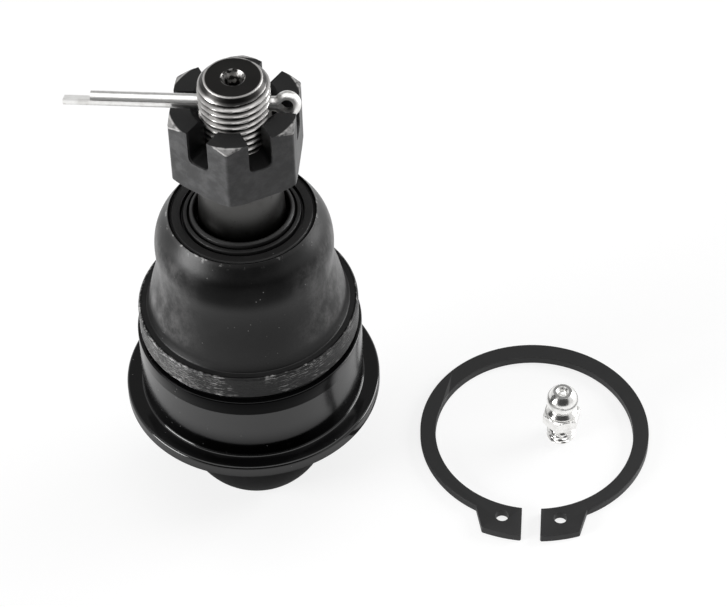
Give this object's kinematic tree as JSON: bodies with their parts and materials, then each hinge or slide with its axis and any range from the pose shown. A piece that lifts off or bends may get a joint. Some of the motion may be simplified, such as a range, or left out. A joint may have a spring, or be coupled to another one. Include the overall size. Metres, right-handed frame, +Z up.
{
  "type": "suspension ball joint",
  "caption": "Press-in suspension ball joint: flanged round housing, rubber boot, tapered stud with castle nut and cotter pin, loose snap ring and grease fitting.",
  "frame": {"origin": "centre of the flat at the bottom of the domed end cover, on the joint's axis, where the grease port opens", "axes": "+Z up the stud, +X towards the loose snap ring, -Y towards the viewer"},
  "size_m": [0.1154, 0.0544, 0.1104],
  "materials": {
    "black_coat": "gloss black electrocoat",
    "matt_black_coat": "matt black coat on drawn steel",
    "boot_rubber": "satin black rubber",
    "stud_steel": "turned alloy steel, oiled grey",
    "nut_steel": "dark grey phosphate",
    "zinc_steel": "bright zinc plate",
    "ring_steel": "black phosphated spring steel",
    "spring_steel": "oiled spring steel",
    "bearing_metal": "sintered iron, oil soaked"
  },
  "bodies": {
    "housing": {"housing": "black_coat", "end_cover": "matt_black_coat", "pressure_cup": "bearing_metal", "preload_spring": "spring_steel"},
    "swivel": {"dust_boot": "boot_rubber", "boot_bead_ring": "spring_steel", "upper_bearing": "bearing_metal"},
    "tilt": {"boot_top_ring": "spring_steel"},
    "stud": {"ball_stud": "stud_steel", "castle_nut": "nut_steel"},
    "cotter_pin": {"cotter_pin": "zinc_steel"},
    "snap_ring": {"snap_ring": "ring_steel"},
    "grease_fitting": {"grease_fitting": "zinc_steel", "check_spring": "spring_steel"},
    "check_ball": {"check_ball": "spring_steel"}
  },
  "joints": [
    {"name": "stud_azimuth", "type": "hinge", "parent": "housing", "child": "swivel", "pos_m": [0, 0, 0.0317], "axis": [0, 0, 1], "continuous": true},
    {"name": "stud_tilt", "type": "hinge", "parent": "swivel", "child": "tilt", "pos_m": [0, 0, 0.0317], "axis": [1, 0, 0], "range_deg": [-22, 22], "deforming": ["dust_boot"]},
    {"name": "stud_spin", "type": "hinge", "parent": "tilt", "child": "stud", "pos_m": [0, 0, 0.0317], "axis": [0, 0, 1], "continuous": true},
    {"name": "cotter_pull", "type": "slide", "parent": "stud", "child": "cotter_pin", "axis": [0.9962, -0.0872, 0], "range_m": [0, 0.048]},
    {"name": "snap_ring_lift", "type": "slide", "parent": "housing", "child": "snap_ring", "axis": [0, 0, 1], "range_m": [0, 0.03]},
    {"name": "grease_fitting_lift", "type": "slide", "parent": "housing", "child": "grease_fitting", "axis": [0, 0, 1], "range_m": [0, 0.03]},
    {"name": "check_ball_press", "type": "slide", "parent": "grease_fitting", "child": "check_ball", "axis": [0, 0, -1], "range_m": [0, 0.0008], "stiffness_N_per_m": 400, "springref_m": -0.0015, "deforming": ["check_spring"]}
  ]
}
